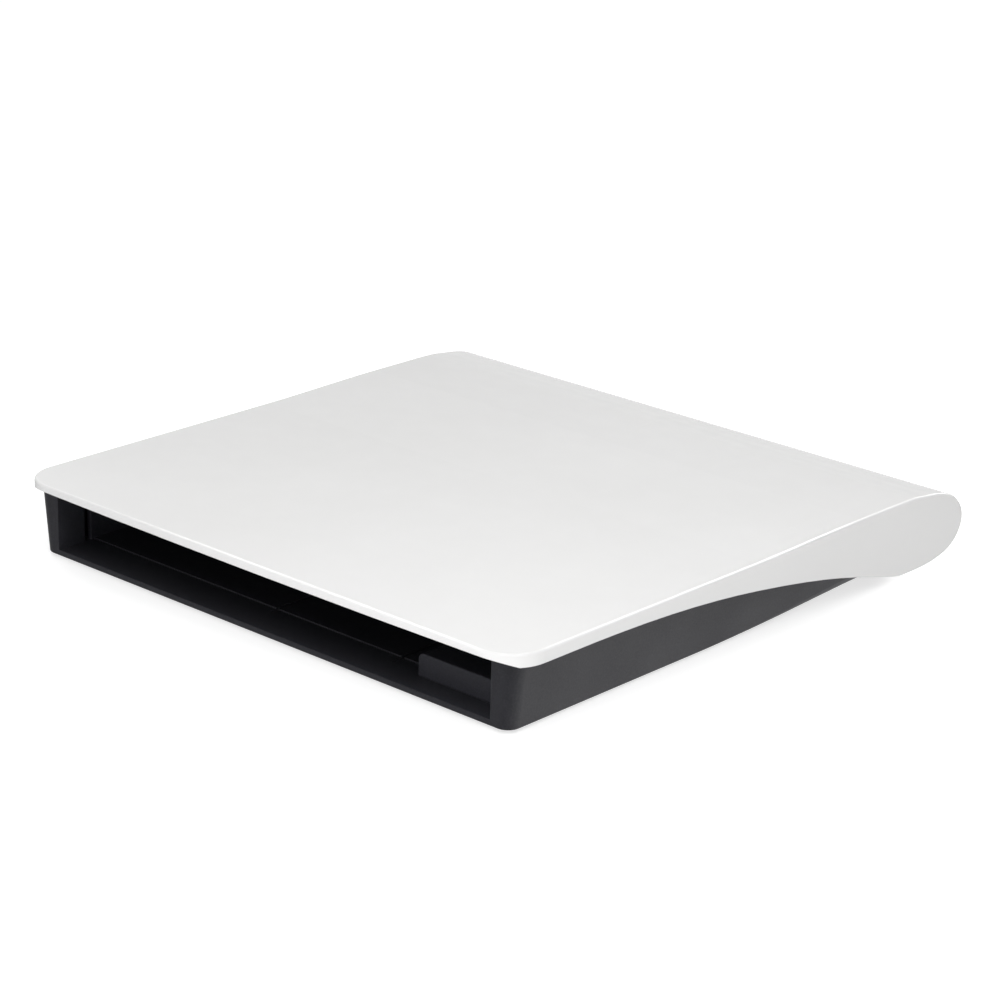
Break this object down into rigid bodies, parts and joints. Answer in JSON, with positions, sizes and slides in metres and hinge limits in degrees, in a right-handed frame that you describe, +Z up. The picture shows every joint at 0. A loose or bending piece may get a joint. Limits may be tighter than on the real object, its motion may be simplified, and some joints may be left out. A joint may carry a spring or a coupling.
{
  "type": "external slim optical drive enclosure",
  "caption": "Flat desktop enclosure for a slim optical drive: white cover swelling into a round rear bulb, black tray with an open front bay, bridge board and rear sockets.",
  "frame": {"origin": "on the table, under the middle of the object's footprint", "axes": "+Z up, -Y out of the open front bay, +X to the right seen from the front"},
  "size_m": [0.1474, 0.151, 0.0186],
  "materials": {
    "cover_white": "polished white ABS",
    "tray_black": "fine satin black ABS",
    "spacer_black": "fine satin black ABS",
    "pipe_clear": "clear polished acrylic",
    "foam_black": "soft closed-cell foam",
    "rubber_black": "matt rubber",
    "label_silver": "matt silver film, blank",
    "board_green": "solder resist over glass-epoxy",
    "screw_steel": "zinc-plated steel",
    "connector_black": "black moulded nylon",
    "contact_gold": "gold plating",
    "socket_steel": "tin-plated steel",
    "chip_black": "moulded epoxy",
    "lead_tin": "tinned",
    "can_steel": "drawn steel can",
    "ferrite_grey": "matt ferrite",
    "can_aluminium": "bare aluminium can",
    "capacitor_tan": "glazed ceramic chip",
    "resistor_black": "glazed resistor chip",
    "led_white": "moulded lamp body"
  },
  "bodies": {
    "base": {"base_tray": "tray_black", "wing_spacer": "spacer_black", "floor_pads": "foam_black", "rating_label": "label_silver", "bridge_board": "board_green", "board_screws": "screw_steel", "sata_receptacle": "connector_black", "sata_contacts": "contact_gold", "usb_shell": "socket_steel", "usb_tongue": "connector_black", "usb_contacts": "contact_gold", "dc_jack": "connector_black", "dc_jack_pin": "socket_steel", "dc_jack_spring": "socket_steel", "bridge_chip": "chip_black", "bridge_chip_leads": "lead_tin", "crystal": "can_steel", "flash_chip": "chip_black", "voltage_regulator": "chip_black", "power_inductor": "ferrite_grey", "bulk_capacitor": "can_aluminium", "chip_capacitors": "capacitor_tan", "chip_resistors": "resistor_black", "activity_led": "led_white", "foot_front_left": "rubber_black", "foot_front_right": "rubber_black", "foot_rear_left": "rubber_black", "foot_rear_right": "rubber_black"},
    "cover": {"top_cover": "cover_white", "light_pipe": "pipe_clear", "cover_pads": "foam_black"}
  },
  "joints": [
    {"name": "cover_slide", "type": "slide", "parent": "base", "child": "cover", "axis": [0, 1, 0], "range_m": [0, 0.15]}
  ]
}
